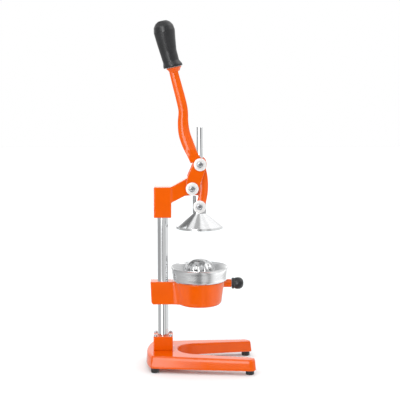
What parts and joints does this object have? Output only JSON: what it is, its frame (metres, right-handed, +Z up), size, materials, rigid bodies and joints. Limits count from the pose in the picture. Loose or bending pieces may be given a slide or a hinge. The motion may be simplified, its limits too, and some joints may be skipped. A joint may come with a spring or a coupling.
{
  "type": "lever citrus press",
  "caption": "Hand lever citrus press: forked lever and links drive a bell down a column head onto a fluted reamer in a loose cup, over a horseshoe base.",
  "frame": {"origin": "middle of the footprint on the surface the feet stand on", "axes": "+X to the open front of the base and the bowl's knob, +Y across the width, +Z up"},
  "size_m": [0.229, 0.178, 0.7274],
  "materials": {
    "orange_paint": "gloss enamel",
    "chrome": "polished",
    "polished_alloy": "polished",
    "brushed_steel": "fine brushed",
    "polished_steel": "polished",
    "zinc_screws": "satin",
    "nickel_discs": "satin",
    "bronze": "machined",
    "black_grip": "semi-gloss",
    "black_rubber": "matt"
  },
  "bodies": {
    "frame": {"base_casting": "orange_paint", "rubber_feet": "black_rubber", "foot_screws": "zinc_screws", "column_socket": "orange_paint", "socket_screws": "zinc_screws", "column_bar": "chrome", "column_bolt": "zinc_screws", "column_washer": "zinc_screws", "holder_casting": "orange_paint", "holder_set_screws": "zinc_screws", "knob_stud": "zinc_screws", "holder_knob": "black_grip", "head_casting": "orange_paint", "head_set_screws": "zinc_screws", "upper_guide_bush": "bronze", "lower_guide_bush": "bronze", "fulcrum_bolt": "zinc_screws", "fulcrum_nut": "zinc_screws", "fulcrum_discs": "nickel_discs"},
    "lever": {"lever_casting": "orange_paint", "lever_bushes": "bronze", "lever_grip": "black_grip"},
    "links": {"near_link": "orange_paint", "far_link": "orange_paint", "crank_bolts": "zinc_screws", "crank_discs": "nickel_discs", "wrist_bolts": "zinc_screws", "wrist_discs": "nickel_discs"},
    "ram": {"press_rod": "chrome", "press_hub": "polished_steel", "press_bell": "polished_alloy", "bell_screw": "zinc_screws"},
    "cup": {"juice_cup": "brushed_steel", "strainer_disc": "brushed_steel", "fluted_reamer": "polished_steel"}
  },
  "joints": [
    {"name": "lever_pivot", "type": "hinge", "parent": "frame", "child": "lever", "pos_m": [-0.0166, 0, 0.3812], "axis": [0, 1, 0], "range_deg": [0, 116]},
    {"name": "link_pivot", "type": "hinge", "parent": "lever", "child": "links", "pos_m": [-0.00014, 0, 0.43126], "axis": [0, 1, 0], "range_deg": [-102.1, 0]},
    {"name": "press_slide", "type": "slide", "parent": "frame", "child": "ram", "axis": [0, 0, -1], "range_m": [0, 0.084]},
    {"name": "cup_spin", "type": "hinge", "parent": "frame", "child": "cup", "pos_m": [-0.0012, 0, 0.17], "axis": [0, 0, 1], "continuous": true}
  ],
  "couplings": [
    {"joint": "link_pivot", "follows": "lever_pivot", "ratio": -0.87973},
    {"joint": "press_slide", "follows": "lever_pivot", "m_per_rad": 0.041458}
  ]
}
